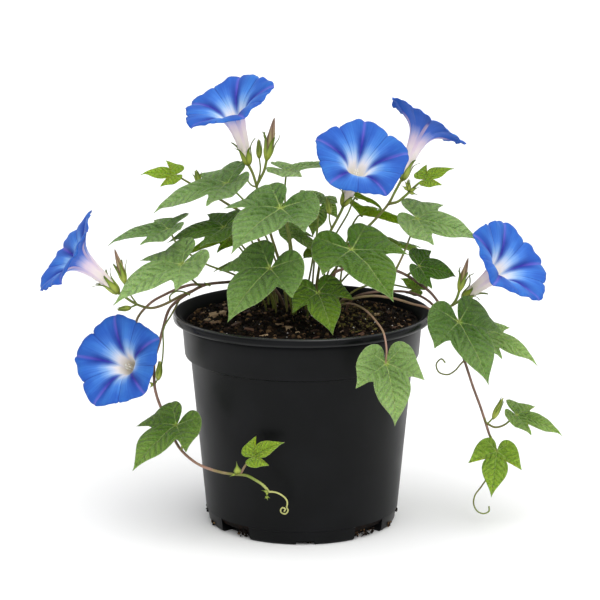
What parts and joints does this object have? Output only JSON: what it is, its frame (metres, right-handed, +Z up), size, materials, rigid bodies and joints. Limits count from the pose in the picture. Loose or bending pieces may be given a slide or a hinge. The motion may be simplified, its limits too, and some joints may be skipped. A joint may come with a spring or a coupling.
{
  "type": "potted morning glory vine",
  "caption": "Morning glory vine with blue trumpet flowers, buds, lobed leaves and curling tendrils, growing over the rim of a round black nursery pot filled with soil.",
  "frame": {"origin": "centre of the pot's flat underside, on the pot's axis", "axes": "+Z up along the pot's axis, +X to the right and -Y towards the viewer, with the over-rim leaf and the trailing vine end at the front"},
  "size_m": [0.4028, 0.2305, 0.3485],
  "materials": {
    "pot_plastic": "satin black injection-moulded polypropylene",
    "potting_soil": "loose dark compost with bark chips",
    "mature_leaf": "soft satin, grey-green, veined",
    "young_leaf": "soft satin, yellow-green",
    "vine_stem": "matt brown-purple bark, green at the young ends",
    "petal": "soft matt blue with violet rays and a white throat"
  },
  "bodies": {
    "root": {"corolla_left": "petal", "corolla_lower_left": "petal", "corolla_right": "petal", "corolla_top_centre": "petal", "corolla_top_left": "petal", "corolla_top_right": "petal", "leaf_back": "mature_leaf", "leaf_back_far_right": "mature_leaf", "leaf_back_left": "mature_leaf", "leaf_back_low": "mature_leaf", "leaf_back_right": "mature_leaf", "leaf_centre_back": "mature_leaf", "leaf_centre_left": "mature_leaf", "leaf_centre_right": "mature_leaf", "leaf_front_centre": "mature_leaf", "leaf_front_left": "mature_leaf", "leaf_inside_lower": "mature_leaf", "leaf_inside_upper": "mature_leaf", "leaf_left_inner": "mature_leaf", "leaf_left_inside": "mature_leaf", "leaf_left_low": "mature_leaf", "leaf_left_mid": "mature_leaf", "leaf_left_tail": "mature_leaf", "leaf_left_top": "mature_leaf", "leaf_left_under": "mature_leaf", "leaf_over_rim": "mature_leaf", "leaf_right_behind": "mature_leaf", "leaf_right_edge_on": "mature_leaf", "leaf_right_inside": "mature_leaf", "leaf_right_low": "mature_leaf", "leaf_right_mid": "mature_leaf", "leaf_right_tail": "mature_leaf", "leaf_right_tip": "mature_leaf", "leaf_right_top": "mature_leaf", "leaf_top": "mature_leaf", "pot": "pot_plastic", "soil": "potting_soil", "stem_shoot_left": "vine_stem", "stem_top_centre": "vine_stem", "stem_top_left": "vine_stem", "stem_top_right": "vine_stem", "vine_left": "vine_stem", "vine_right": "vine_stem", "vine_right_back": "vine_stem", "vine_right_low": "vine_stem", "young_leaf_left": "young_leaf", "young_leaf_on_pot": "young_leaf", "young_leaf_right": "young_leaf"}
  },
  "joints": []
}
